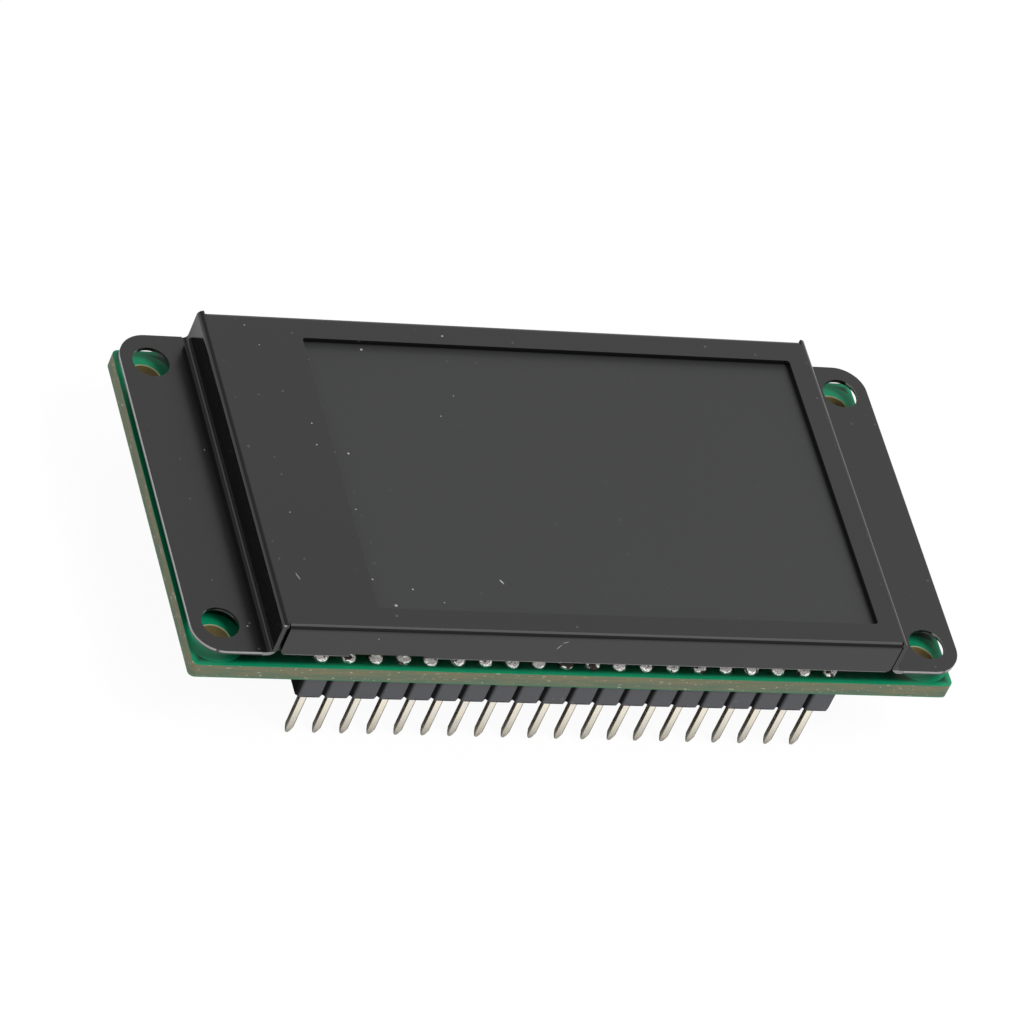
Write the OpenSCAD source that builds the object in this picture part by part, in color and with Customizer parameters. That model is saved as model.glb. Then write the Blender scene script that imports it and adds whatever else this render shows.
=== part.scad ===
// TFT display module: a folded sheet-metal bezel over a liquid-crystal panel on a circuit board
// with a single-row pin header. Millimetres, +Z out of the display.
// Origin: middle of the mounting-hole pattern, on the underside of the board.

/* [Mounting holes] */
// Tray's side wall to the hole centres
hole_offset_x = 4; // [3.2:0.05:8]
// Tray's front and back walls in to the hole centres
hole_inset_y = 3.2; // [1:0.05:6]
// Diameter of the holes in the board
board_hole_d = 3; // [2.2:0.1:3.6]
// Diameter of the holes in the bezel's flanges
flange_hole_d = 3.4; // [2.2:0.1:3.8]

/* [Circuit board] */
// Thickness of the board
board_t = 1.6; // [0.8:0.1:2.4]
// Hole centre to the board's left and right edges
board_margin_x = 2.5; // [2.2:0.1:6]
// Hole centre to the board's front and back edges
board_margin_y = 3.1; // [2.4:0.1:8]
// Radius of the board's corners
board_corner_r = 0.6; // [0.2:0.1:2]

/* [Pin header] */
// Number of pins
pin_count = 20; // [4:1:20]
// Distance between pins
pin_pitch = 2.54; // [2:0.01:2.54]
// Side of a square pin
pin_w = 0.64; // [0.5:0.02:0.7]
// Pin row to the front edge of the board
header_inset = 1.3; // [1.2:0.1:2.4]
// Height of the plastic strip
strip_h = 2.54; // [1.5:0.02:4]
// Depth of the plastic strip
strip_d = 2.3; // [2.1:0.05:2.5]
// Chamfer at each break line of the strip
strip_chamfer = 0.35; // [0.2:0.05:0.8]
// Length of a pin below the strip
pin_reach = 5.96; // [3:0.02:12]
// Length of a pin above the board
pin_tail = 1.3; // [0.6:0.1:1.4]
// Length of the pointed end of a pin
pin_tip = 0.9; // [0.3:0.05:1.5]
// Width of the pointed end's flat
pin_tip_w = 0.26; // [0.1:0.02:0.5]
// Radius of a solder fillet on the board
solder_r = 0.85; // [0.6:0.05:0.95]
// Height of a solder fillet
solder_h = 0.95; // [0.3:0.05:1.1]
// Radius of a plated pin hole
pin_hole_r = 0.5; // [0.5:0.01:0.55]

/* [Bezel] */
// Thickness of the sheet
sheet_t = 0.4; // [0.3:0.05:0.6]
// Shift of the tray towards the back
tray_shift_y = -0.2; // [-1:0.05:1]
// Height of the tray's top above the flanges
tray_rise = 3.6; // [2.4:0.1:4.2]
// Inner radius of the bends along the tray's top
top_bend_r = 0.1; // [0.05:0.05:0.3]
// Upper radius of the bends at the foot of the walls
foot_bend_r = 0.45; // [0.3:0.05:1.1]
// Hole centre to the flange's outer edge
flange_margin_x = 2.8; // [2.4:0.1:6]
// Hole centre to the flange's front and back edges
flange_margin_y = 3.2; // [2.4:0.1:8]
// Radius of the flanges' outer corners
flange_corner_r = 2.8; // [1:0.1:4]
// Side walls' front ends to the front flap's face
wall_set_back = 0.2; // [0:0.05:0.5]
// How far the side walls reach past the back flap's face
wall_overrun = 0.1; // [0:0.05:0.5]
// Width of the slits between the flaps and the walls
corner_slit = 0.15; // [0.1:0.05:0.4]
// Radius of the flaps' lower corners
flap_corner_r = 0.5; // [0.2:0.1:1]
// Width of the cut-away in the front flap's lower edge
flap_notch_w = 7; // [2:0.5:12]
// Height of that cut-away
flap_notch_h = 0.3; // [0.1:0.1:0.8]
// Left end of the front flap to the cut-away
flap_notch_inset = 6.6; // [2:0.2:20]
// Width of the window
window_w = 47.4; // [40:0.2:80]
// Depth of the window
window_d = 31.3; // [26:0.1:60]
// Left wall of the tray to the window
window_inset_left = 9.2; // [8.7:0.05:14]
// Right wall of the tray to the window
window_inset_right = 2.4; // [2.1:0.05:6]
// Front wall of the tray to the window
window_inset_front = 2.5; // [2.3:0.05:6]
// Back wall of the tray to the window
window_inset_back = 2.6; // [2.1:0.05:6]
// Radius of the window's corners
window_corner_r = 0.3; // [0.1:0.1:1]

/* [Display stack] */
// Thickness of the foam tape on the board
tape_t = 1.75; // [1.5:0.05:2.4]
// Thickness of the reflector film
reflector_t = 0.1; // [0.05:0.05:0.2]
// Thickness of the light guide
guide_t = 1.3; // [1.1:0.1:2]
// Thickness of each film over the light guide
film_t = 0.2; // [0.1:0.05:0.3]
// Thickness of a polariser
polariser_t = 0.2; // [0.1:0.05:0.3]
// Thickness of one sheet of glass
glass_t = 0.5; // [0.3:0.05:0.7]
// Thickness of the foam gasket under the bezel
gasket_t = 0.25; // [0.15:0.05:0.6]
// How far the panel reaches past the window on each side
panel_overlap = 0.9; // [0.7:0.05:1]
// Length of the lower glass's ledge on the left
ledge_w = 4.6; // [3.6:0.1:4.8]
// Gap between the backlight's frame and the bezel
frame_clearance = 0.15; // [0.1:0.05:0.3]
// Gap between a part and the pocket that it lies in
pocket_clearance = 0.1; // [0.05:0.01:0.15]

/* [Driver chip and tail] */
// Length of the driver chip along the ledge
chip_l = 18; // [10:0.5:24]
// Width of the driver chip
chip_w = 1.2; // [0.8:0.1:1.4]
// Thickness of the driver chip
chip_t = 0.3; // [0.2:0.05:0.4]
// Width of the flexible tail
flex_w = 16; // [8:0.5:24]
// Thickness of the flexible tail
flex_t = 0.12; // [0.08:0.02:0.16]
// Inner radius of the tail's folds
flex_bend_r = 0.3; // [0.2:0.05:0.4]
// Length of the tail that lies on the board
flex_foot = 7; // [4:0.5:9]
// Overlap of the tail on the glass
flex_bond = 1.4; // [0.8:0.1:1.6]

/* [Light source and small parts] */
// Number of light-emitting diodes
led_count = 4; // [2:1:6]
// Length of one diode
led_l = 3; // [2:0.1:3.8]
// Depth of one diode
led_d = 0.9; // [0.6:0.05:1]
// Height of one diode
led_h = 0.8; // [0.5:0.05:0.9]
// Thickness of the diodes' carrier strip
led_strip_t = 0.1; // [0.06:0.02:0.14]
// Width of the diodes' carrier strip
led_strip_w = 1.3; // [1.1:0.05:1.4]
// Length of a small part under the board
chip_part_l = 2; // [1.6:0.1:3.2]
// Width of a small part under the board
chip_part_w = 1.25; // [0.8:0.05:1.6]
// Height of a small part under the board
chip_part_h = 0.7; // [0.4:0.05:1.2]
// Width of a foam tape
tape_w = 16; // [8:0.5:18]
// Depth of a foam tape
tape_d = 24; // [10:0.5:28]
// Foam tape to the back of the backlight's frame
tape_inset_back = 4; // [1:0.5:6]

/* [Hidden] */
$fn = 48;

// tray, holes and board, each from the one before
tray_w = window_inset_left + window_w + window_inset_right;
tray_d = window_inset_front + window_d + window_inset_back;
hole_span_x = tray_w + 2 * hole_offset_x;
hole_span_y = tray_d - 2 * hole_inset_y;
board_w = hole_span_x + 2 * board_margin_x;
board_d = hole_span_y + 2 * board_margin_y;
header_y = -board_d / 2 + header_inset;
pin_bottom = -strip_h - pin_reach;
pin_top = board_t + pin_tail;
strip_w = pin_count * pin_pitch;

// heights of the stack, from the board up
reflector_z = board_t + tape_t;
frame_z = reflector_z + reflector_t;
film_z = frame_z + guide_t;
panel_z = film_z + 2 * film_t;
tft_z = panel_z + polariser_t;
colour_z = tft_z + glass_t;
front_z = colour_z + glass_t;
gasket_z = front_z + polariser_t;
plate_z = gasket_z + gasket_t;
tray_top = plate_z + sheet_t;

// bezel
flange_top = tray_top - tray_rise;
flange_w = hole_span_x + 2 * flange_margin_x;
flange_d = hole_span_y + 2 * flange_margin_y;
top_bend_outer = top_bend_r + sheet_t;
foot_bend_outer = foot_bend_r + sheet_t;
tray_x = tray_w / 2;
tray_front = tray_shift_y - tray_d / 2;
tray_back = tray_shift_y + tray_d / 2;
seam_lap = 0.05;
window_left = -tray_x + window_inset_left;
window_right = tray_x - window_inset_right;
window_front = tray_front + window_inset_front;
window_back = tray_back - window_inset_back;

// room inside the tray and the backlight's frame
frame_left = -tray_x + sheet_t + frame_clearance;
frame_right = tray_x - sheet_t - frame_clearance;
frame_front = tray_front + sheet_t + frame_clearance;
frame_back = tray_back - sheet_t - frame_clearance;

// panel
panel_right = window_right + panel_overlap;
panel_left = window_left - panel_overlap;
panel_front = window_front - panel_overlap;
panel_back = window_back + panel_overlap;
ledge_left = panel_left - ledge_w;
polariser_set_in = 0.3;
gasket_inset = 0.2;
gasket_set_back = 0.25;
chip_gap = 0.6;
chip_x = ledge_left + flex_bond + chip_gap;

// the light guide's pocket leaves a lip all round, on which the lower glass rests
frame_lip = 0.6;
pocket_left = ledge_left + frame_lip;
pocket_right = panel_right - frame_lip;
pocket_front = panel_front + frame_lip;
pocket_back = panel_back - frame_lip;

// tail: its outer face runs down inside the frame's notch
flex_outer_r = flex_bend_r + flex_t;
flex_left = frame_left + 2 * pocket_clearance;
flex_top = colour_z + flex_t;
notch_w = flex_w + 6 * pocket_clearance;
notch_depth = 3 * pocket_clearance + flex_outer_r;

// light source
led_x = pocket_left + pocket_clearance;
guide_left = led_x + led_strip_w + pocket_clearance;
led_pitch = (pocket_back - pocket_front) / led_count;

// foam tapes
tape_gap = 1;
tape_side_inset = 3;
tape_back = frame_back - tape_inset_back;

// small parts under the board
small_part_offset = 6;
small_part_gap = 5;
small_part_y = header_y + small_part_offset;
terminal_step = 0.04;

function pin_name(i) = str("pin_", i < 10 ? "0" : "", i);
function pin_x(i) = (i - (pin_count + 1) / 2) * pin_pitch;

// ---- helpers ----

// Box given by its low and high corners
module box(low, high) {
    translate(low) cube(high - low);
}

// Flat rectangle given by its corners, with round corners of radius r
module round_rect(x0, y0, x1, y1, r) {
    translate([x0 + r, y0]) square([x1 - x0 - 2 * r, y1 - y0]);
    translate([x0, y0 + r]) square([x1 - x0, y1 - y0 - 2 * r]);
    for (x = [x0 + r, x1 - r], y = [y0 + r, y1 - r]) translate([x, y]) circle(r);
}

// Copies the children to the four mounting holes
module at_holes() {
    for (sx = [-1, 1], sy = [-1, 1])
        translate([sx * hole_span_x / 2, sy * hole_span_y / 2, 0]) children();
}

// Quarter of a ring of thickness t round the origin, in the quadrant given by the two signs
module quarter_ring(inner_r, t, sx, sy) {
    outer_r = inner_r + t;
    intersection() {
        difference() {
            circle(outer_r);
            circle(inner_r);
        }
        translate([sx > 0 ? 0 : -outer_r, sy > 0 ? 0 : -outer_r]) square(outer_r);
    }
}

// Sheet bent down along the tray's top, as a profile. The tray's outer corner is at the
// origin and the plate lies towards -X.
module bent_edge(drop) {
    translate([-top_bend_outer - seam_lap, -sheet_t]) square([seam_lap, sheet_t]);
    translate([-top_bend_outer, -top_bend_outer]) quarter_ring(top_bend_r, sheet_t, 1, 1);
    translate([-sheet_t, -drop]) square([sheet_t, drop - top_bend_outer]);
}

// Side wall as a profile: bent down from the plate, then out into the flange
module wall_profile() {
    wall_drop = tray_rise - foot_bend_r;
    bent_edge(wall_drop);
    translate([foot_bend_r, -wall_drop]) quarter_ring(foot_bend_r, sheet_t, -1, -1);
    translate([foot_bend_r, -tray_rise - sheet_t]) square([seam_lap, sheet_t]);
}

// ---- bezel ----

module bezel() {
    color([0.05, 0.05, 0.055]) {
        bezel_plate();
        bezel_side();
        mirror([1, 0, 0]) bezel_side();
        bezel_back_flap();
        bezel_front_flap();
    }
}

// Flat top with the window
module bezel_plate() {
    inset = top_bend_outer;
    translate([0, 0, plate_z]) linear_extrude(sheet_t) difference() {
        translate([-tray_x + inset, tray_front + inset])
            square([tray_w - 2 * inset, tray_d - 2 * inset]);
        round_rect(window_left, window_front, window_right, window_back, window_corner_r);
    }
}

// Right wall with its flange
module bezel_side() {
    y0 = tray_front + wall_set_back;
    y1 = tray_back + wall_overrun;
    translate([tray_x, y1, tray_top]) rotate([90, 0, 0])
        linear_extrude(y1 - y0) wall_profile();
    translate([0, 0, flange_top - sheet_t]) linear_extrude(sheet_t) difference() {
        intersection() {
            round_rect(-flange_w / 2, -flange_d / 2, flange_w / 2, flange_d / 2,
                       flange_corner_r);
            translate([tray_x + foot_bend_r, -flange_d / 2]) square([flange_w / 2, flange_d]);
        }
        for (sy = [-1, 1])
            translate([hole_span_x / 2, sy * hole_span_y / 2]) circle(d = flange_hole_d);
    }
}

// Back flap with round lower corners, inset between the walls by a slit at each end
module bezel_back_flap() {
    length = tray_w - 2 * (top_bend_outer + corner_slit);
    intersection() {
        translate([-length / 2, tray_back, tray_top]) rotate([90, 0, 90])
            linear_extrude(length) bent_edge(tray_rise);
        translate([0, tray_back + seam_lap, 0]) rotate([90, 0, 0])
            linear_extrude(top_bend_outer + 3 * seam_lap)
                round_rect(-length / 2, flange_top, length / 2,
                           tray_top + 2 * flap_corner_r, flap_corner_r);
    }
}

// Front flap, the back one mirrored, with a cut-away in its lower edge
module bezel_front_flap() {
    notch_x = -tray_x + sheet_t + flap_notch_inset;
    difference() {
        translate([0, 2 * tray_shift_y, 0]) mirror([0, 1, 0]) bezel_back_flap();
        box([notch_x, tray_front - 1, flange_top - 1],
            [notch_x + flap_notch_w, tray_front + sheet_t + 1, flange_top + flap_notch_h]);
    }
}

// ---- panel ----

// Foam ring between the bezel and the panel, set back from the window's edge
module window_gasket() {
    color([0.03, 0.03, 0.03]) difference() {
        box([frame_left + gasket_inset, frame_front + gasket_inset, gasket_z],
            [frame_right - gasket_inset, frame_back - gasket_inset, plate_z]);
        box([window_left - gasket_set_back, window_front - gasket_set_back, gasket_z - 1],
            [window_right + gasket_set_back, window_back + gasket_set_back, plate_z + 1]);
    }
}

module front_polariser() {
    color([0.1, 0.1, 0.11])
        box([panel_left + polariser_set_in, panel_front + polariser_set_in, front_z],
            [panel_right - polariser_set_in, panel_back - polariser_set_in, gasket_z]);
}

module colour_filter_glass() {
    color([0.75, 0.85, 0.85, 0.6])
        box([panel_left, panel_front, colour_z], [panel_right, panel_back, front_z]);
}

// The lower glass reaches past the upper one on the left, where the driver chip sits
module tft_glass() {
    color([0.7, 0.82, 0.82, 0.6])
        box([ledge_left, panel_front, tft_z], [panel_right, panel_back, colour_z]);
}

module rear_polariser() {
    color([0.15, 0.15, 0.16])
        box([panel_left + polariser_set_in, pocket_front + pocket_clearance, panel_z],
            [pocket_right - pocket_clearance, pocket_back - pocket_clearance, tft_z]);
}

module driver_chip() {
    color([0.2, 0.2, 0.22])
        translate([chip_x, tray_shift_y - chip_l / 2, colour_z]) cube([chip_w, chip_l, chip_t]);
}

// Tail bonded to the ledge, folded down through the frame's notch and in along the board
module display_flex() {
    fold_x = flex_left + flex_outer_r;
    color([0.75, 0.45, 0.1])
        translate([0, tray_shift_y + flex_w / 2, 0]) rotate([90, 0, 0]) linear_extrude(flex_w) {
            translate([fold_x, colour_z]) square([ledge_left + flex_bond - fold_x, flex_t]);
            translate([fold_x, flex_top - flex_outer_r])
                quarter_ring(flex_bend_r, flex_t, -1, 1);
            translate([flex_left, board_t + flex_outer_r])
                square([flex_t, flex_top - board_t - 2 * flex_outer_r]);
            translate([fold_x, board_t + flex_outer_r])
                quarter_ring(flex_bend_r, flex_t, -1, -1);
            translate([fold_x, board_t]) square([flex_foot - flex_outer_r, flex_t]);
        }
}

// ---- backlight ----

module film(z) {
    box([guide_left, pocket_front + pocket_clearance, z],
        [pocket_right - pocket_clearance, pocket_back - pocket_clearance, z + film_t]);
}

module prism_film() {
    color([0.9, 0.9, 0.92, 0.7]) film(film_z + film_t);
}

module diffuser_film() {
    color([0.95, 0.95, 0.95]) film(film_z);
}

module light_guide() {
    color([0.85, 0.92, 0.95, 0.6])
        box([guide_left, pocket_front + pocket_clearance, frame_z],
            [pocket_right - pocket_clearance, pocket_back - pocket_clearance, film_z]);
}

module reflector_film() {
    color([0.97, 0.97, 0.97])
        box([ledge_left, frame_front + gasket_inset, reflector_z],
            [frame_right - gasket_inset, frame_back - gasket_inset, frame_z]);
}

// Moulded frame: an open pocket for the light guide, a wider one above for the glass, and a
// notch in the left wall for the tail
module backlight_frame() {
    notch_y0 = tray_shift_y - notch_w / 2;
    notch_y1 = tray_shift_y + notch_w / 2;
    color([0.92, 0.92, 0.9]) difference() {
        box([frame_left, frame_front, frame_z], [frame_right, frame_back, gasket_z]);
        box([pocket_left, pocket_front, frame_z - 1], [pocket_right, pocket_back, gasket_z]);
        box([ledge_left - pocket_clearance, panel_front - pocket_clearance, tft_z],
            [panel_right + pocket_clearance, panel_back + pocket_clearance, gasket_z + 1]);
        box([frame_left - 1, notch_y0, tft_z], [ledge_left, notch_y1, gasket_z + 1]);
        box([frame_left - 1, notch_y0, frame_z - 1],
            [frame_left + notch_depth, notch_y1, gasket_z + 1]);
    }
}

module led_strip() {
    color([0.85, 0.75, 0.4])
        box([led_x, pocket_front + pocket_clearance, frame_z],
            [led_x + led_strip_w, pocket_back - pocket_clearance, frame_z + led_strip_t]);
}

// Row of diodes against the light guide's left end
module leds() {
    row_y = (pocket_front + pocket_back) / 2;
    color([0.95, 0.9, 0.5]) for (i = [0 : led_count - 1])
        translate([led_x + led_strip_w - led_d,
                   row_y + (i - (led_count - 1) / 2) * led_pitch - led_l / 2,
                   frame_z + led_strip_t])
            cube([led_d, led_l, led_h]);
}

// ---- board and what is on it ----

module foam_tape(x) {
    color([0.15, 0.15, 0.15]) translate([x, tape_back - tape_d, board_t])
        cube([tape_w, tape_d, tape_t]);
}

module foam_tape_left() {
    foam_tape(flex_left + flex_foot + tape_gap);
}

module foam_tape_right() {
    foam_tape(frame_right - tape_side_inset - tape_w);
}

module circuit_board() {
    color([0.02, 0.35, 0.18]) linear_extrude(board_t) difference() {
        round_rect(-board_w / 2, -board_d / 2, board_w / 2, board_d / 2, board_corner_r);
        at_holes() circle(d = board_hole_d);
        for (i = [1 : pin_count]) translate([pin_x(i), header_y]) circle(pin_hole_r);
    }
}

// Plastic strip: one eight-sided block per pin, joined by the spine between the chamfers
module header_body() {
    color([0.2, 0.2, 0.22]) translate([0, header_y, -strip_h]) linear_extrude(strip_h)
        difference() {
            union() {
                for (i = [1 : pin_count]) translate([pin_x(i), 0]) strip_block();
                square([strip_w, strip_d - 2 * strip_chamfer], center = true);
            }
            for (i = [1 : pin_count]) translate([pin_x(i), 0]) square(pin_w, center = true);
        }
}

module strip_block() {
    x = pin_pitch / 2;
    y = strip_d / 2;
    c = strip_chamfer;
    polygon([[-x + c, -y], [x - c, -y], [x, -y + c], [x, y - c],
             [x - c, y], [-x + c, y], [-x, y - c], [-x, -y + c]]);
}

// Side view of a pin, with its pointed lower end
module pin_profile() {
    polygon([[-pin_w / 2, pin_top], [-pin_w / 2, pin_bottom + pin_tip],
             [-pin_tip_w / 2, pin_bottom], [pin_tip_w / 2, pin_bottom],
             [pin_w / 2, pin_bottom + pin_tip], [pin_w / 2, pin_top]]);
}

// Square pin pointed on all four sides
module pin(i) {
    color([0.8, 0.76, 0.66]) translate([pin_x(i), header_y, 0]) intersection() {
        rotate([90, 0, 0]) linear_extrude(pin_w, center = true) pin_profile();
        rotate([90, 0, 90]) linear_extrude(pin_w, center = true) pin_profile();
    }
}

// Solder in each plated hole, with a fillet round the pin on the board's top
module solder_joints() {
    color([0.8, 0.8, 0.8]) for (i = [1 : pin_count]) translate([pin_x(i), header_y, 0])
        difference() {
            union() {
                cylinder(h = board_t + solder_h / 2, r = pin_hole_r);
                translate([0, 0, board_t])
                    cylinder(h = solder_h, r1 = solder_r, r2 = pin_hole_r);
            }
            translate([0, 0, board_t]) cube([pin_w, pin_w, 4 * board_t], center = true);
        }
}

// Small part with a terminal at each end, under the board
module chip_part(x, shade) {
    terminal_l = chip_part_l / 5;
    color(shade) translate([x, small_part_y, -chip_part_h]) {
        translate([-chip_part_l / 2 + terminal_l / 2, -chip_part_w / 2 + terminal_step,
                   terminal_step])
            cube([chip_part_l - terminal_l, chip_part_w - 2 * terminal_step,
                  chip_part_h - 2 * terminal_step]);
        for (sx = [-1, 1])
            translate([sx * (chip_part_l - terminal_l) / 2 - terminal_l / 2,
                       -chip_part_w / 2, 0])
                cube([terminal_l, chip_part_w, chip_part_h]);
    }
}

module capacitor_1() {
    chip_part(-small_part_gap, [0.6, 0.5, 0.4]);
}

module capacitor_2() {
    chip_part(0, [0.6, 0.5, 0.4]);
}

module backlight_resistor() {
    chip_part(small_part_gap, [0.12, 0.12, 0.12]);
}

bezel();
window_gasket();
front_polariser();
colour_filter_glass();
tft_glass();
rear_polariser();
driver_chip();
display_flex();
prism_film();
diffuser_film();
light_guide();
reflector_film();
backlight_frame();
led_strip();
leds();
foam_tape_left();
foam_tape_right();
circuit_board();
header_body();
solder_joints();
capacitor_1();
capacitor_2();
backlight_resistor();
for (i = [1 : pin_count])
    pin(i);
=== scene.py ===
import math
import random
import bpy
from mathutils import Euler, Matrix, Vector


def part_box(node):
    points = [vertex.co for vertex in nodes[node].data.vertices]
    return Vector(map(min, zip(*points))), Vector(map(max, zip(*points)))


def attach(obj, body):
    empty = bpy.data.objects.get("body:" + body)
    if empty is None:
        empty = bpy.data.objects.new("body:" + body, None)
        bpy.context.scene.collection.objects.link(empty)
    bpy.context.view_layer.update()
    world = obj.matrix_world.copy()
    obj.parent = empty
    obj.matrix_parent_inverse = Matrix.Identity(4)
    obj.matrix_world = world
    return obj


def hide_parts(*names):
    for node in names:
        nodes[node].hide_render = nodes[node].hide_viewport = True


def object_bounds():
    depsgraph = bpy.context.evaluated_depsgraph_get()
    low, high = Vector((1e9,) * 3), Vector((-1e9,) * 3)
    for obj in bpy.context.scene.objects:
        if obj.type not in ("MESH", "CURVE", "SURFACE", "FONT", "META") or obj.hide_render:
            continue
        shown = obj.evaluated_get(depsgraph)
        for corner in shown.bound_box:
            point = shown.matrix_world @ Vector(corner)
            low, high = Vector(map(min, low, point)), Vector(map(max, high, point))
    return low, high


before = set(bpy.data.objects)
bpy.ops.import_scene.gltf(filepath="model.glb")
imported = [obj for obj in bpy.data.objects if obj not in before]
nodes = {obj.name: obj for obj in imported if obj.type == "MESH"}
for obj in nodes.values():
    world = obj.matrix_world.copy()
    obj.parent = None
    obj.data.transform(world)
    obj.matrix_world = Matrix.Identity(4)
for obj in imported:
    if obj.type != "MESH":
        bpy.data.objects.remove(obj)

mm = 0.001
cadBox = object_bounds()
scene = bpy.context.scene
boardLow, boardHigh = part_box("circuit_board")
bezelLow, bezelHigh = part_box("bezel")
stripLow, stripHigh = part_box("header_body")
pinNames = sorted(name for name in nodes if name.startswith("pin_"))
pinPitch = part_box(pinNames[1])[0][0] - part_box(pinNames[0])[0][0]
headerY = (stripLow[1] + stripHigh[1]) / 2
boardTop = boardHigh[2]


# ---- camera ----

# place in mm, turn in degrees, lens and film width in mm
cameraLook = {"place": (-245.623, -388.503, 436.921), "turn": (43.599, -18.19, -13.9), "lens": 251.05,
              "film": 36}


def setCamera(look):
    data = bpy.data.cameras.new("camera")
    data.lens = look["lens"]
    data.sensor_width = look["film"]
    data.clip_start = 0.02
    data.clip_end = 20
    camera = bpy.data.objects.new("camera", data)
    scene.collection.objects.link(camera)
    turn = Euler([math.radians(angle) for angle in look["turn"]])
    camera.matrix_world = Matrix.Translation(Vector(look["place"]) * mm) @ turn.to_matrix().to_4x4()
    scene.camera = camera
    print("camera set")


# ---- shader helpers ----

class Socket:
    # one output of a node; + - * / and the calls below add Math nodes, and size is the absolute value
    def __init__(self, finish, output):
        self.finish, self.output = finish, output

    def maths(self, operation, *others):
        values = dict(enumerate((self, *others)))
        return self.finish.node("ShaderNodeMath", {"operation": operation}, values)

    def __add__(self, other):
        return self.maths("ADD", other)

    def __sub__(self, other):
        return self.maths("SUBTRACT", other)

    def __mul__(self, other):
        return self.maths("MULTIPLY", other)

    def __truediv__(self, other):
        return self.maths("DIVIDE", other)

    __radd__, __rmul__ = __add__, __mul__

    def __rsub__(self, other):
        return self.finish.node("ShaderNodeMath", {"operation": "SUBTRACT"}, {0: other, 1: self})

    def step(self, edge, soft, under, over):
        return self.finish.node("ShaderNodeMapRange", {"interpolation_type": "SMOOTHSTEP"},
                                {0: self, 1: edge - soft, 2: edge + soft, 3: under, 4: over})

    def below(self, edge, soft):
        # 1 under the edge, 0 over it
        return self.step(edge, soft, 1.0, 0.0)

    def above(self, edge, soft):
        # 0 under the edge, 1 over it
        return self.step(edge, soft, 0.0, 1.0)

    def size(self):
        return self.maths("ABSOLUTE")

    def most(self, other):
        return self.maths("MAXIMUM", other)

    def least(self, other):
        return self.maths("MINIMUM", other)

    def spread(self, low, high, fromLow=0.0, fromHigh=1.0):
        return self.finish.node("ShaderNodeMapRange", {},
                                {0: self, 1: fromLow, 2: fromHigh, 3: low, 4: high})


class NodeTree:
    # node() adds any node to a tree and gives back a socket
    def __init__(self, owner, coordinates):
        owner.use_nodes = True
        self.tree = owner.node_tree
        self.place = self.node("ShaderNodeTexCoord", out=coordinates)
        self.x, self.y, self.z = self.split(self.place)

    def node(self, kind, settings=None, inputs=None, out=0):
        made = self.tree.nodes.new(kind)
        for key, value in (settings or {}).items():
            setattr(made, key, value)
        for key, value in (inputs or {}).items():
            if isinstance(value, Socket):
                self.tree.links.new(value.output, made.inputs[key])
            else:
                made.inputs[key].default_value = value
        return Socket(self, made.outputs[out])

    def split(self, vector):
        made = self.node("ShaderNodeSeparateXYZ", {}, {0: vector})
        return [Socket(self, made.output.node.outputs[i]) for i in range(3)]

    def join(self, x, y, z=0.0):
        return self.node("ShaderNodeCombineXYZ", {}, {0: x, 1: y, 2: z})

    def noise(self, scale, detail=3.0, vector=None):
        return self.node("ShaderNodeTexNoise", {},
                         {"Vector": vector or self.place, "Scale": scale, "Detail": detail})

    def rays(self, *names):
        # 1 for rays of any of these kinds
        path = self.tree.nodes.new("ShaderNodeLightPath")
        found, *others = [Socket(self, path.outputs["Is " + name + " Ray"]) for name in names]
        for other in others:
            found = found.most(other)
        return found

    def mix(self, mask, under, over):
        # a colour mix: Factor is socket 0, the colours are 6 and 7
        under = under if isinstance(under, Socket) else (*under, 1)
        over = over if isinstance(over, Socket) else (*over, 1)
        return self.node("ShaderNodeMix", {"data_type": "RGBA"}, {0: mask, 6: under, 7: over}, 2)


class Finish(NodeTree):
    # a material and its Principled shader
    def __init__(self, name, **plain):
        self.material = bpy.data.materials.new(name)
        super().__init__(self.material, "Object")
        self.shader = self.tree.nodes["Principled BSDF"]
        for key, value in plain.items():
            self.shader.inputs[key.replace("_", " ")].default_value = value

    def facing(self, axis):
        normal = self.node("ShaderNodeNewGeometry", out="Normal")
        return self.split(normal)[axis]

    def bump(self, height, strength, distance):
        return self.node("ShaderNodeBump", {},
                         {"Height": height, "Strength": strength, "Distance": distance})

    def feed(self, **sockets):
        for key, value in sockets.items():
            self.tree.links.new(value.output, self.shader.inputs[key.replace("_", " ")])
        return self.material

    def shadeOver(self, mask, colour):
        # a matt dark layer over the finish: painted shade
        dirt = self.node("ShaderNodeBsdfDiffuse", {}, {"Color": (*colour, 1)})
        plain = Socket(self, self.shader.outputs[0])
        self.surface(self.node("ShaderNodeMixShader", {}, {0: mask, 1: plain, 2: dirt}))
        return self.material

    def surface(self, shader):
        self.tree.links.new(shader.output, self.tree.nodes["Material Output"].inputs["Surface"])

    def specks(self, cells, size, chance, seed=0.0):
        # sparse round dots, one in some of the cells of a flat pattern
        flat = self.join(self.x * cells + seed, self.y * cells + seed)
        cell = self.node("ShaderNodeTexVoronoi", {"voronoi_dimensions": "2D"},
                         {"Vector": flat, "Scale": 1.0})
        draw, width, _ = self.split(Socket(self, cell.output.node.outputs["Color"]))
        there = draw.below(chance, 0.01)
        return (cell / (width * size + size * 0.4)).below(1.0, 0.35) * there

    def flecks(self, v, marks):
        # dust and short hairs, and on the bezel one painted highlight, at chosen places: (x, v, length,
        # width, turn in degrees), in mm
        found = 0.0
        for at, up, length, width, turn in marks:
            c, s = math.cos(math.radians(turn)), math.sin(math.radians(turn))
            du, dv = self.x - at * mm, v - up * mm
            along = (du * c + dv * s) / (length * mm)
            across = (dv * c - du * s) / (width * mm)
            mark = (along * along + across * across).below(0.3, 0.2)
            found = mark.most(found)
        return found


# ---- modelling helpers ----

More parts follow.
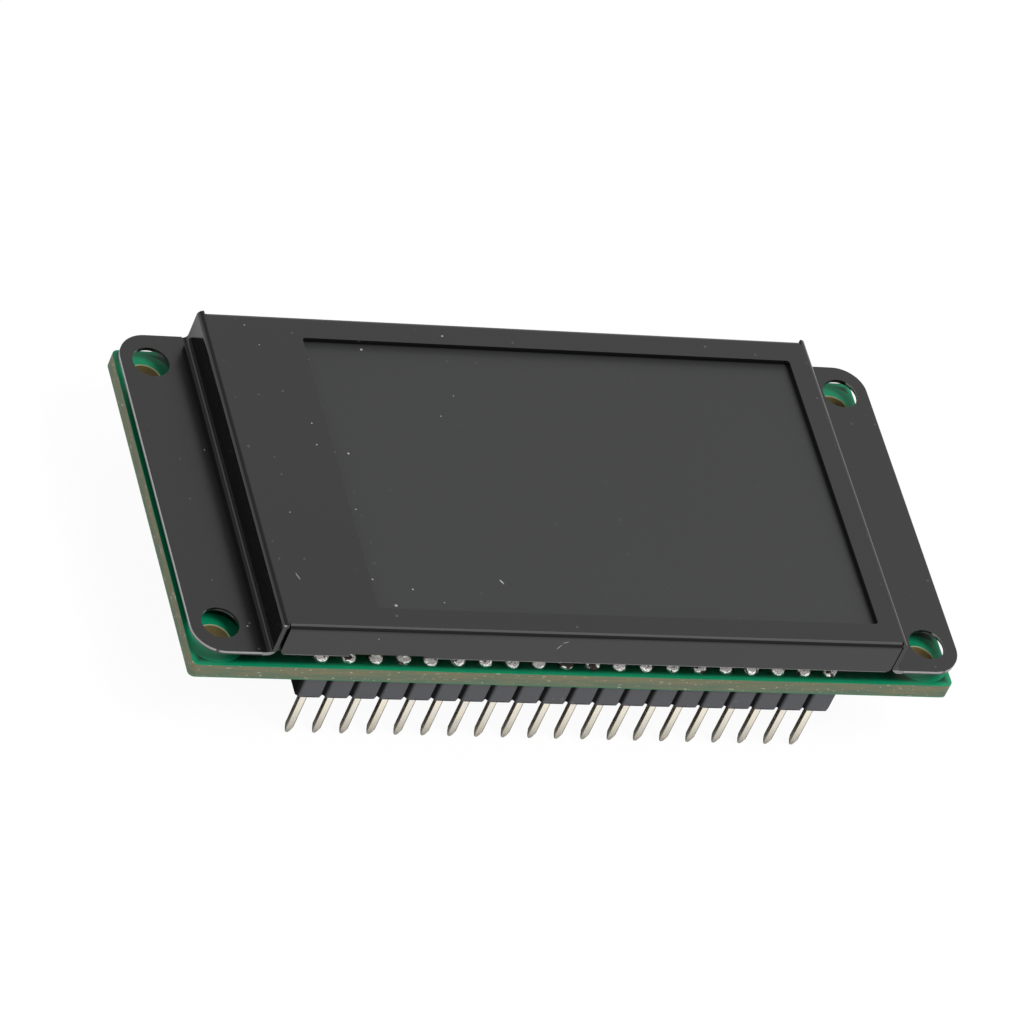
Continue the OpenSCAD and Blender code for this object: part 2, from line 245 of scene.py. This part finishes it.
def dropSelection():
    if bpy.context.object and bpy.context.object.mode != "OBJECT":
        bpy.ops.object.mode_set(mode="OBJECT")
    bpy.ops.object.select_all(action="DESELECT")


def takeUp(piece):
    dropSelection()
    piece.select_set(True)
    bpy.context.view_layer.objects.active = piece


def editMode(piece, choose="DESELECT"):
    takeUp(piece)
    bpy.ops.object.mode_set(mode="EDIT")
    bpy.ops.mesh.select_mode(type="VERT")
    bpy.ops.mesh.select_all(action=choose)


def objectMode():
    bpy.ops.object.mode_set(mode="OBJECT")


def pickFaces(piece, test):
    # selects the faces for which test(middle, normal) holds, and stays in edit mode
    editMode(piece)
    bpy.ops.mesh.select_mode(type="FACE")
    objectMode()
    for face in piece.data.polygons:
        face.select = bool(test(face.center, face.normal))
    bpy.ops.object.mode_set(mode="EDIT")


def settle(piece):
    # place, turn and scale go into the mesh
    takeUp(piece)
    bpy.ops.object.transform_apply(location=True, rotation=True, scale=True)


def modify(piece, kind, **settings):
    takeUp(piece)
    modifier = piece.modifiers.new(kind.lower(), kind)
    for key, value in settings.items():
        setattr(modifier, key, value)
    bpy.ops.object.modifier_apply(modifier=modifier.name)


def bevel(piece, width, segments, degrees):
    # rounds the edges that turn by more than so many degrees
    modify(piece, "BEVEL", width=width, segments=segments, limit_method="ANGLE",
           angle_limit=math.radians(degrees))


def smoothen(piece, degrees):
    # smooth bends, while large flat faces keep their own direction
    takeUp(piece)
    bpy.ops.object.shade_smooth_by_angle(angle=math.radians(degrees))
    modify(piece, "WEIGHTED_NORMAL", mode="FACE_AREA", weight=100, keep_sharp=True)


def copyNode(node, name):
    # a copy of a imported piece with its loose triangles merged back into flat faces
    piece = nodes[node].copy()
    piece.data = nodes[node].data.copy()
    piece.name = piece.data.name = name
    for key in list(piece.keys()):
        del piece[key]
    piece.parent = None
    piece.matrix_world = Matrix.Identity(4)
    scene.collection.objects.link(piece)
    piece.data.materials.clear()
    editMode(piece, "SELECT")
    bpy.ops.mesh.customdata_custom_splitnormals_clear()
    bpy.ops.mesh.remove_doubles(threshold=0.001 * mm)
    bpy.ops.mesh.dissolve_limited(angle_limit=math.radians(0.3))
    objectMode()
    return piece


def roundedCopy(node, name, sizes):
    # the copy with its sharp edges rounded and its bends smooth
    piece = copyNode(node, name)
    bevel(piece, sizes["edge"], 2, sizes["sharpAngle"])
    smoothen(piece, sizes["smoothAngle"])
    return piece


def copyMesh(piece, name, offset):
    made = piece.copy()
    made.data = piece.data.copy()
    made.name = made.data.name = name
    made.data.transform(Matrix.Translation(offset))
    scene.collection.objects.link(made)
    return made


def joinAll(parts, name):
    dropSelection()
    for part in parts:
        part.select_set(True)
    bpy.context.view_layer.objects.active = parts[0]
    bpy.ops.object.join()
    parts[0].name = parts[0].data.name = name
    return parts[0]


def dress(piece, material, slot, *stoodFor):
    piece.data.materials.clear()
    piece.data.materials.append(material)
    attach(piece, "root")
    if stoodFor:
        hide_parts(*stoodFor)
    return piece


def paint(node, material):
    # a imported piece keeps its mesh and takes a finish
    nodes[node].data.materials.clear()
    nodes[node].data.materials.append(material)


# ---- finishes ----

sharp = 0.02 * mm  # softness of a printed or etched edge


def offPin(f):
    # x from the middle of the nearest header position
    return f.x.maths("WRAP", pinPitch, 0.0) - pinPitch / 2


def radius(x, y):
    return (x * x + y * y).maths("SQRT")


# marks lie on the sheet unfolded at its top edges: left to right, then front to back
paintLook = {
    "colour": (0.0035, 0.0035, 0.0037), "pale": (0.005, 0.005, 0.005), "gloss": 0.11, "flangeDull": 0.13,
    "dust": (0.12, 0.12, 0.117), "fleck": (0.24, 0.24, 0.23), "bareAndGlint": (0.28, 0.285, 0.28),
    "flangeFrom": 30.3 * mm, "rimFrom": 34.5 * mm, "rimWidth": 0.3 * mm, "flangeTop": 3.6 * mm,
    "bareDepth": 0.24 * mm, "lipGlintShare": 0.6, "peel": 0.01 * mm,
    "marks": [
        # the first mark, at the tray's front-left top corner, is a painted highlight: the glint of the bent
        # corner
        (-29.3, -18.3, 0.22, 0.2, 0), (-25.5, 16.6, 0.12, 0.12, 0), (-24.6, 14.3, 0.1, 0.1, 0),
        (-21.7, 5.2, 0.13, 0.13, 0), (-21.8, 2.7, 0.13, 0.13, 0), (-26.1, -5.3, 0.1, 0.1, 0),
        (-27, -12.6, 0.7, 0.07, 110), (-6.7, 16.4, 0.2, 0.16, 30), (-2.2, -15.6, 0.1, 0.1, 0),
        (-31.1, -18.9, 0.14, 0.12, 0), (-30.7, 1.2, 0.1, 0.1, 0), (-20.5, -19.6, 0.12, 0.12, 0),
        (-3.6, -19.9, 0.6, 0.09, 60), (-3.2, -19.3, 0.5, 0.08, 20)],
}


def blackPaint(look):
    f = Finish("blackPaint", IOR=1.52)
    cloud = f.noise(90, 4)
    peel = f.noise(2600, 2)
    dust = f.specks(420, 0.04, 0.16) * f.facing(2).above(0.7, 0.1)
    flecks = f.flecks(f.y + f.z - bezelHigh[2], look["marks"])
    colour = f.mix(cloud, look["colour"], look["pale"])
    colour = f.mix(dust * 0.3, colour, look["dust"])
    # dust and hairs, and the painted highlight at the tray's front-left corner
    colour = f.mix(flecks, colour, look["fleck"])
    # the flanges are duller than the tray, and bare metal shows on the sheet's cut edges; the pale line
    # along the lowest edge of the front-facing flap faces is a painted highlight in the same colour
    low = f.z.below(look["flangeTop"] + 0.06 * mm, 0.03 * mm)
    flange = f.x.size().above(look["flangeFrom"], 0.1 * mm) * low
    ends = f.y.size().above(-bezelLow[1] - look["rimWidth"], 0.05 * mm)
    rim = f.x.size().above(look["rimFrom"], 0.1 * mm).most(ends) * flange
    side = 1 - f.facing(2).size().above(0.4, 0.2)
    lipGlint = f.facing(1).below(-0.6, 0.2) * low * (1 - flange)
    upper = f.z.above(look["flangeTop"] - look["bareDepth"], 0.05 * mm)
    colour = f.mix((rim * side * upper).most(lipGlint * look["lipGlintShare"]), colour, look["bareAndGlint"])
    rough = cloud.spread(look["gloss"] - 0.02, look["gloss"] + 0.03)
    rough = rough + dust * 0.3 + flange * look["flangeDull"]
    return f.feed(Base_Color=colour, Roughness=rough, Normal=f.bump(peel, 0.05, look["peel"]))


panelLook = {
    "colour": (0.0265, 0.027, 0.027), "pale": (0.0285, 0.029, 0.029), "gloss": 0.35,
    "dust": (0.12, 0.12, 0.117), "fleck": (0.3, 0.3, 0.29), "grain": 0.004 * mm,
    "marks": [
        (-20, 13.4, 0.12, 0.12, 0), (-14.6, 14.9, 0.24, 0.18, 40), (-20, 2.5, 0.12, 0.12, 0),
        (-18.7, 2.4, 0.17, 0.17, 0), (-19.5, -4.1, 0.12, 0.12, 0), (-19.8, -12.1, 0.14, 0.14, 0),
        (-18.3, -15, 0.24, 0.22, 0), (-16.3, -13.1, 0.14, 0.14, 0), (-13.7, -14.5, 0.1, 0.1, 0),
        (-7.7, -11.9, 0.5, 0.13, 120), (-7, 9.8, 0.1, 0.1, 0), (-8.8, 7.3, 0.12, 0.1, 0)],
}


def panelFilm(look):
    f = Finish("panelFilm", IOR=1.3)
    cloud = f.noise(60, 3)
    grain = f.noise(9000, 1)
    dust = f.specks(330, 0.035, 0.2, 0.37)
    colour = f.mix(cloud, look["colour"], look["pale"])
    colour = f.mix(dust * 0.2, colour, look["dust"])
    colour = f.mix(f.flecks(f.y, look["marks"]), colour, look["fleck"])
    rough = cloud.spread(look["gloss"] - 0.02, look["gloss"] + 0.02) + dust * 0.3
    return f.feed(Base_Color=colour, Roughness=rough, Normal=f.bump(grain, 0.04, look["grain"]))


boardLook = {
    "mask": (0.001, 0.055, 0.024), "maskDark": (0.001, 0.035, 0.015), "copperAndLitGreen": (0.004, 0.21, 0.095),
    "tin": (0.62, 0.60, 0.56), "holeX": 33.5 * mm, "holeY": 15 * mm, "ring": 2.75 * mm,
    "padRadius": 0.7 * mm, "litEdgeWidth": 0.45 * mm, "relief": 0.02 * mm,
    # the tracks underneath
    "trackHalf": 0.13 * mm, "trackGap": 0.36 * mm, "trackLeast": 3 * mm, "trackMore": 19 * mm,
    "viaRadius": 0.34 * mm, "viaHole": 0.15 * mm, "viaGap": 0.6 * mm, "pourTone": 0.45,
    # the sawn edge and the holes' walls; the walls' dark brown is painted shade and their pale top rim is a
    # painted highlight
    "tan": (0.175, 0.162, 0.095), "grey": (0.095, 0.145, 0.1), "fibre": (0.5, 0.48, 0.4),
    "shadedBore": (0.13, 0.1, 0.035), "rim": (0.42, 0.4, 0.26), "holeRadius": 1.5 * mm,
}


def boardFace(f, look, ring):
    # the colour of the two flat faces, and where bare tinned metal is
    threads = {"Vector": f.place, "Scale": 260.0, "Distortion": 0.6}
    weave = f.node("ShaderNodeTexWave", {"bands_direction": "X"}, threads)
    weave = weave * f.node("ShaderNodeTexWave", {"bands_direction": "Y"}, threads)
    face = f.mix(weave * 0.5 + f.noise(400, 3) * 0.4, look["maskDark"], look["mask"])
    # copper under the mask is paler at a ring round each hole; the pale band along the board's edges is
    # painted light, with the darker mask inside it standing in for the shade under the bezel
    inX = boardHigh[0] - f.x.size()
    inY = boardHigh[1] - f.y.size()
    litEdgeBand = inX.least(inY).below(look["litEdgeWidth"], 0.3 * mm)
    # underneath, a track runs from each pin to a via, with a gap in the copper on both sides
    px, py = offPin(f), f.y - headerY
    underneath = f.facing(2).below(-0.5, 0.1)
    within = f.x.size().below(10 * pinPitch, 0.1 * mm)
    position = (f.x / pinPitch).maths("FLOOR")
    chance = f.node("ShaderNodeTexWhiteNoise", {"noise_dimensions": "1D"}, {"W": position})
    rest = py - chance * look["trackMore"] - look["trackLeast"]
    offVia = radius(px, rest)
    short = rest.below(0.0, sharp) * within
    beside = px.size()
    gap = (short * beside.below(look["trackGap"], sharp)).most(offVia.below(look["viaGap"], sharp) * within)
    track = short * beside.below(look["trackHalf"], sharp)
    copper = (1 - gap).most(track) * underneath * look["pourTone"]
    face = f.mix(ring.most(litEdgeBand).most(copper), face, look["copperAndLitGreen"])
    via = offVia.below(look["viaRadius"], sharp) * offVia.above(look["viaHole"], sharp)
    pad = radius(px, py).below(look["padRadius"], 0.03 * mm)
    tinned = (pad * within).most(via * underneath * within)
    return f.mix(tinned, face, look["tin"]), tinned


def greenBoard(look):
    f = Finish("greenBoard", IOR=1.3)
    side = 1 - f.facing(2).size().above(0.5, 0.2)
    far = radius(f.x.size() - look["holeX"], f.y.size() - look["holeY"])
    ring = far.below(look["ring"], 0.04 * mm)
    face, tinned = boardFace(f, look, ring)
    # the sawn edge: layers of glass cloth in resin between two green coats
    layers = f.noise(1.0, 4, f.join(f.x * 350, f.y * 350, f.z * 3500))
    upper = f.z.above((boardLow[2] + boardTop) / 2, 0.5 * mm)
    cut = f.mix((upper * 0.4 + layers * 2.3 - 0.83).spread(0, 1), look["grey"], look["tan"])
    fibres = f.noise(1.0, 3, f.join(f.x * 1600, f.y * 1600, f.z * 4200)).above(0.66, 0.04)
    cut = f.mix(fibres * 0.7, cut, look["fibre"])
    # the green mask coats at the bottom and top of the edge; the pale top band is also a painted highlight
    # along the board's top edge
    coatAndGlint = f.z.below(boardLow[2] + 0.12 * mm, 0.05 * mm) + f.z.above(boardTop - 0.07 * mm, 0.03 * mm)
    cut = f.mix(coatAndGlint * 0.6, cut, look["copperAndLitGreen"])
    # the holes' walls: painted shade, with a painted highlight along their top rim
    shadedBore = f.mix(f.z.above(boardTop - 0.15 * mm, 0.06 * mm), look["shadedBore"], look["rim"])
    cut = f.mix(far.below(look["holeRadius"] + 0.1 * mm, sharp), cut, shadedBore)
    cloud = f.noise(400, 3)
    height = cloud * 0.3 + layers * side + ring * 0.5
    return f.feed(Base_Color=f.mix(side, face, cut), Roughness=side * 0.4 + cloud.spread(0.28, 0.42),
                  Metallic=tinned * (1 - side), Normal=f.bump(height, 0.25, look["relief"]))


stripLook = {"colour": (0.04, 0.041, 0.048), "pale": (0.054, 0.055, 0.063), "dust": (0.3, 0.3, 0.3),
             "gloss": 0.42, "grooveShade": 0.24 * mm, "rootRadius": 0.5 * mm, "rootDepth": 0.15 * mm,
             "shadeColour": (0.003, 0.003, 0.003), "grain": 0.01 * mm}


def stripPlastic(look):
    f = Finish("stripPlastic", IOR=1.5)
    cloud = f.noise(500, 5)
    grain = f.noise(12000, 2)
    dust = f.noise(2500, 2).above(0.74, 0.03)
    colour = f.mix(cloud, look["colour"], look["pale"])
    colour = f.mix(dust * 0.6, colour, look["dust"])
    f.feed(Base_Color=colour, Roughness=cloud.spread(look["gloss"] - 0.05, look["gloss"] + 0.1),
           Normal=f.bump(grain, 0.25, look["grain"]))
    # painted shade deep in the grooves between the blocks and at the pins' roots
    beside = offPin(f).size()
    grooveShade = beside.above(pinPitch / 2 - look["grooveShade"], 0.1 * mm)
    root = beside.below(look["rootRadius"], 0.15 * mm)
    root = root * f.z.below(stripLow[2] + look["rootDepth"], 0.12 * mm)
    return f.shadeOver(grooveShade.most(root * 0.8) * 0.9, look["shadeColour"])


pinLook = {"colour": (0.96, 0.88, 0.73), "grey": (0.88, 0.84, 0.76), "gloss": 0.24,
           "cornerShade": (0.04, 0.028, 0.018), "corner": 0.21 * mm, "scratch": 0.006 * mm}


def pinPlating(look):
    f = Finish("pinPlating")
    drawn = f.noise(1.0, 2, f.join(f.x * 7000, f.y * 7000, f.z * 500))
    patch = f.noise(700, 3)
    colour = f.mix(patch.spread(0, 1, 0.35, 0.7), look["colour"], look["grey"])
    # painted reflection: the right-hand corner that the drawing die rounds is darkened, standing in for the
    # dark surroundings it mirrors
    corner = offPin(f).above(look["corner"], 0.03 * mm) * f.facing(0).below(0.9, 0.08)
    colour = f.mix(corner * 0.8, colour, look["cornerShade"])
    rough = drawn.spread(look["gloss"] - 0.08, look["gloss"] + 0.12, 0.3, 0.7)
    return f.feed(Base_Color=colour, Roughness=rough, Metallic=patch.spread(1.0, 0.9),
                  Normal=f.bump(drawn, 0.12, look["scratch"]))


solderLook = {"colour": (0.95, 0.91, 0.89), "pit": (0.045, 0.035, 0.03), "gloss": 0.1, "lump": 0.16 * mm}


def brightSolder(look):
    f = Finish("brightSolder")
    lumps = f.noise(1800, 3)
    pits = f.noise(1300, 2).above(0.58, 0.03)
    return f.feed(Base_Color=f.mix(pits, look["colour"], look["pit"]), Metallic=1 - pits * 0.5,
                  Roughness=lumps.spread(look["gloss"] - 0.06, look["gloss"] + 0.12),
                  Normal=f.bump(lumps, 1.0, look["lump"]))


def plainFinish(name, colour, other, gloss, scale=300, **plain):
    # a moulded, rolled or cast finish with a slight change of tone and gloss
    f = Finish(name, **plain)
    cloud = f.noise(scale, 4)
    fine = f.noise(scale * 20, 2)
    return f.feed(Base_Color=f.mix(cloud.spread(0, 1, 0.3, 0.7), colour, other),
                  Roughness=cloud.spread(gloss - 0.05, gloss + 0.05), Normal=f.bump(fine, 0.2, 0.01 * mm))


mouldingLook = {"colour": (0.76, 0.76, 0.74), "pale": (0.82, 0.82, 0.8), "tape": (0.008, 0.008, 0.008)}


def tapedMoulding(look):
    # white plastic whose outer sides are wrapped in black tape
    f = Finish("tapedMoulding")
    low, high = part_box("backlight_frame")
    middle, half = (low + high) / 2, (high - low) / 2
    inX = half[0] - (f.x - middle[0]).size()
    inY = half[1] - (f.y - middle[1]).size()
    taped = inX.least(inY).below(0.1 * mm, 0.05 * mm)
    plastic = f.mix(f.noise(300, 4), look["colour"], look["pale"])
    return f.feed(Base_Color=f.mix(taped, plastic, look["tape"]), Roughness=taped.spread(0.5, 0.7))


chipLook = {"terminal": 0.32 * mm, "tin": (0.8, 0.79, 0.77)}


def chipFinish(name, node, look, colour, other):
    # a small part for the board's face, with a tinned terminal at each end
    f = Finish(name)
    low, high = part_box(node)
    middle, half = (low + high) / 2, (high - low) / 2
    along = 0 if half[0] > half[1] else 1
    reach = ((f.x, f.y)[along] - middle[along]).size()
    tinned = reach.above(half[along] - look["terminal"], 0.03 * mm)
    cloud = f.noise(1500, 3)
    return f.feed(Base_Color=f.mix(tinned, f.mix(cloud, colour, other), look["tin"]), Metallic=tinned,
                  Roughness=cloud.spread(0.5, 0.65) - tinned * 0.25)


def foamFinish(name, colour, other):
    f = Finish(name)
    cells = f.node("ShaderNodeTexVoronoi", {}, {"Vector": f.place, "Scale": 6000.0})
    return f.feed(Base_Color=f.mix(cells, colour, other), Roughness=cells.spread(0.8, 0.98),
                  Normal=f.bump(cells, 0.6, 0.04 * mm))


# ---- studio ----

studio = {
    "floorAt": cadBox[0][2], "floorSize": 6.0, "floor": (0.86, 0.86, 0.855), "floorLift": 0.95,
    "shade": (0.012, 0.009, 0.006), "shadeShare": 0.96,
    # the backdrop's top edge falls from backdropTop to leftTop towards the left
    "backdrop": 0.95, "backdropTop": 0.77, "leftTop": 0.42, "room": 0.22, "roomTop": 0.45,
    "fallAt": -0.075, "fallSoft": 0.175, "startAt": -0.05, "startSoft": 0.25, "topSoft": 0.05,
    "lamps": [
        {"name": "overhead", "place": (0.24, 0.02, 0.86), "size": 0.8, "power": 3.6, "mirrored": True},
        {"name": "leftFill", "place": (-0.9, -0.55, 0.55), "size": 0.45, "power": 1.0, "mirrored": False},
        {"name": "frontFill", "place": (0.25, -0.45, 1.0), "size": 0.4, "power": 9.0, "mirrored": False},
    ],
}


def setStudio(look):
    # a pale backdrop behind, a dim room in front; the camera sees plain white
    scene.world = bpy.data.worlds.new("studio")
    w = NodeTree(scene.world, "Generated")
    rise = w.x.above(look["fallAt"], look["fallSoft"]) * (look["backdropTop"] - look["leftTop"])
    under = (rise + look["leftTop"] - w.z).above(0.0, look["topSoft"])
    behind = w.y.above(look["startAt"], look["startSoft"]) * under
    room = w.z.spread(look["room"], look["roomTop"])
    level = (behind * (look["backdrop"] - room) + room).most(w.rays("Camera"))
    back = w.tree.nodes["Background"]
    back.inputs["Color"].default_value = (1, 1, 1, 1)
    w.tree.links.new(level.output, back.inputs["Strength"])

    for lampLook in look["lamps"]:
        lamp = bpy.data.lights.new(lampLook["name"], "AREA")
        lamp.size = lampLook["size"]
        lamp.energy = lampLook["power"]
        made = bpy.data.objects.new(lampLook["name"], lamp)
        scene.collection.objects.link(made)
        made.visible_glossy = lampLook["mirrored"]
        made.location = lampLook["place"]
        made.rotation_euler = (-Vector(lampLook["place"])).to_track_quat("-Z", "Y").to_euler()

    dropSelection()
    bpy.ops.mesh.primitive_plane_add(size=look["floorSize"], location=(0, 0, look["floorAt"]))
    floor = bpy.context.object
    floor.name = "floor"
    settle(floor)
    f = Finish("paleFloor", Roughness=0.9)
    tone = f.noise(6, 2)
    f.feed(Base_Color=f.mix(tone, look["floor"], tuple(c * 0.98 for c in look["floor"])))
    # the camera sees the floor near white with the part's faint shadow; mirrored rays see it
    # white away from the part and dim under it
    soft = 4 * mm
    clear = f.x.size().above(boardHigh[0], soft).most(f.y.below(boardLow[1], soft))
    mirrored = f.rays("Glossy", "Transmission")
    seen = f.rays("Camera").most(mirrored * clear) * look["floorLift"]
    glow = f.node("ShaderNodeEmission", {}, {"Color": (1, 1, 1, 1), "Strength": 1.0})
    dim = f.node("ShaderNodeEmission", {}, {"Color": (*look["shade"], 1), "Strength": 1.0})
    lit = f.node("ShaderNodeMixShader", {}, {0: seen, 1: Socket(f, f.shader.outputs[0]), 2: glow})
    under = mirrored * (1 - clear) * look["shadeShare"]
    f.surface(f.node("ShaderNodeMixShader", {}, {0: under, 1: lit, 2: dim}))
    floor.data.materials.append(f.material)
    print("studio set")


# ---- bezel ----

bezelSizes = {"edge": 0.05 * mm, "sharpAngle": 40, "smoothAngle": 32}


def makeBezel(sizes, material):
    piece = roundedCopy("bezel", "bezelSheet", sizes)
    dress(piece, material, "black_paint", "bezel")
    print("bezel made,", len(piece.data.polygons), "faces")


# ---- board, strip and pins ----

boardSizes = {"edge": 0.04 * mm, "sharpAngle": 50, "smoothAngle": 40}


def makeBoard(sizes, material):
    piece = roundedCopy("circuit_board", "greenBoardPlate", sizes)
    dress(piece, material, "green_board", "circuit_board")
    print("board made")


stripSizes = {"edge": 0.07 * mm, "sharpAngle": 30, "smoothAngle": 40}


def makeStrip(sizes, material):
    piece = roundedCopy("header_body", "headerStrip", sizes)
    dress(piece, material, "header_plastic", "header_body")
    print("strip made")


pinSizes = {"tip": 0.9 * mm, "shoulder": 0.55, "shoulderWidth": 0.74, "tipWidth": 0.26 * mm,
            "edge": 0.1 * mm, "sharpAngle": 15, "smoothAngle": 50}


def makePins(sizes, material):
    low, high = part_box(pinNames[0])
    width = high[0] - low[0]
    middle = (low + high) / 2
    shank = high[2] - low[2] - sizes["tip"]
    dropSelection()
    bpy.ops.mesh.primitive_cube_add(size=1, location=(middle[0], middle[1], high[2] - shank / 2))
    pin = bpy.context.object
    pin.scale = (width, width, shank)
    settle(pin)
    pickFaces(pin, lambda at, normal: normal.z < -0.9)
    shoulder, narrow = sizes["shoulder"], sizes["shoulderWidth"]
    last = sizes["tipWidth"] / (width * narrow)
    for share, shrink in ((shoulder, narrow), (1 - shoulder, last)):
        down = {"value": (0, 0, -sizes["tip"] * share)}
        bpy.ops.mesh.extrude_region_move(TRANSFORM_OT_translate=down)
        bpy.ops.transform.resize(value=(shrink, shrink, 1))
    objectMode()
    bevel(pin, sizes["edge"], 3, sizes["sharpAngle"])
    smoothen(pin, sizes["smoothAngle"])
    for name in pinNames:
        offset = (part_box(name)[0][0] - low[0], 0, 0)
        made = copyMesh(pin, "headerPin" + name[4:], offset)
        dress(made, material, "pin_metal", name)
    bpy.data.objects.remove(pin)
    print("pins made")


solderSizes = {"radius": 0.84 * mm, "wide": (0.9, 0.99), "tall": (0.85, 1.05), "lump": 0.05 * mm,
               "smoothAngle": 60, "seed": 7}


def makeSolder(sizes, material):
    # uneven domes that wet the board round each pin
    chance = random.Random(sizes["seed"])
    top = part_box("solder_joints")[1][2]
    blobs = []
    for i, name in enumerate(pinNames):
        pinLow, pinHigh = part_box(name)
        at = (pinLow + pinHigh) / 2
        dropSelection()
        bpy.ops.mesh.primitive_uv_sphere_add(segments=24, ring_count=16, radius=sizes["radius"],
                                             location=(at[0], at[1], boardTop))
        blob = bpy.context.object
        blob.scale = [chance.uniform(*sizes[key]) for key in ("wide", "wide", "tall")]
        settle(blob)
        editMode(blob, "SELECT")
        bpy.ops.mesh.bisect(plane_co=(0, 0, boardTop), plane_no=(0, 0, 1), clear_inner=True, use_fill=True)
        editMode(blob, "SELECT")
        bpy.ops.transform.vertex_random(offset=sizes["lump"], seed=i + 1)
        bpy.ops.mesh.vertices_smooth(factor=0.5, repeat=2)
        objectMode()
        blobs.append(blob)
    piece = joinAll(blobs, "solderBlobs")
    for v in piece.data.vertices:
        v.co.z = min(max(v.co.z, boardTop), top)
    settle(piece)
    smoothen(piece, sizes["smoothAngle"])
    dress(piece, material, "solder", "solder_joints")
    print("solder made")


# ---- the whole part ----

setCamera(cameraLook)
setStudio(studio)

makeBezel(bezelSizes, blackPaint(paintLook))
makeBoard(boardSizes, greenBoard(boardLook))
makeStrip(stripSizes, stripPlastic(stripLook))
makePins(pinSizes, pinPlating(pinLook))
makeSolder(solderSizes, brightSolder(solderLook))

blackFoam = foamFinish("blackFoam", (0.004, 0.004, 0.004), (0.012, 0.012, 0.012))
clearGlass = plainFinish("clearGlass", (0.55, 0.62, 0.60), (0.6, 0.66, 0.64), 0.08, IOR=1.52)
whiteSheet = plainFinish("whiteSheet", (0.82, 0.82, 0.81), (0.87, 0.87, 0.86), 0.5)
clearSheet = plainFinish("clearSheet", (0.72, 0.72, 0.74), (0.78, 0.78, 0.8), 0.3, 800)
amberFilm = plainFinish("amberFilm", (0.42, 0.17, 0.03), (0.5, 0.22, 0.04), 0.32)
rearPolariser = plainFinish("rearPolariser", (0.03, 0.03, 0.034), (0.04, 0.04, 0.044), 0.3)
polishedSilicon = plainFinish("polishedSilicon", (0.07, 0.07, 0.08), (0.09, 0.09, 0.1), 0.15)
clearAcrylic = plainFinish("clearAcrylic", (0.7, 0.78, 0.82), (0.75, 0.82, 0.86), 0.08, IOR=1.49)
phosphor = plainFinish("phosphor", (0.85, 0.65, 0.1), (0.9, 0.75, 0.2), 0.4)
ceramic = ((0.32, 0.22, 0.14), (0.38, 0.27, 0.17))
black = ((0.02, 0.02, 0.02), (0.03, 0.03, 0.03))

paint("window_gasket", blackFoam)
paint("foam_tape_left", blackFoam)
paint("foam_tape_right", blackFoam)
paint("front_polariser", panelFilm(panelLook))
paint("rear_polariser", rearPolariser)
paint("colour_filter_glass", clearGlass)
paint("tft_glass", clearGlass)
paint("driver_chip", polishedSilicon)
paint("display_flex", amberFilm)
paint("led_strip", amberFilm)
paint("prism_film", clearSheet)
paint("diffuser_film", whiteSheet)
paint("reflector_film", whiteSheet)
paint("light_guide", clearAcrylic)
paint("backlight_frame", tapedMoulding(mouldingLook))
paint("leds", phosphor)
paint("capacitor_1", chipFinish("ceramicOne", "capacitor_1", chipLook, *ceramic))
paint("capacitor_2", chipFinish("ceramicTwo", "capacitor_2", chipLook, *ceramic))
paint("backlight_resistor", chipFinish("resistorBody", "backlight_resistor", chipLook, *black))
print("packed pieces painted")

scene.view_settings.view_transform = "Standard"
dropSelection()
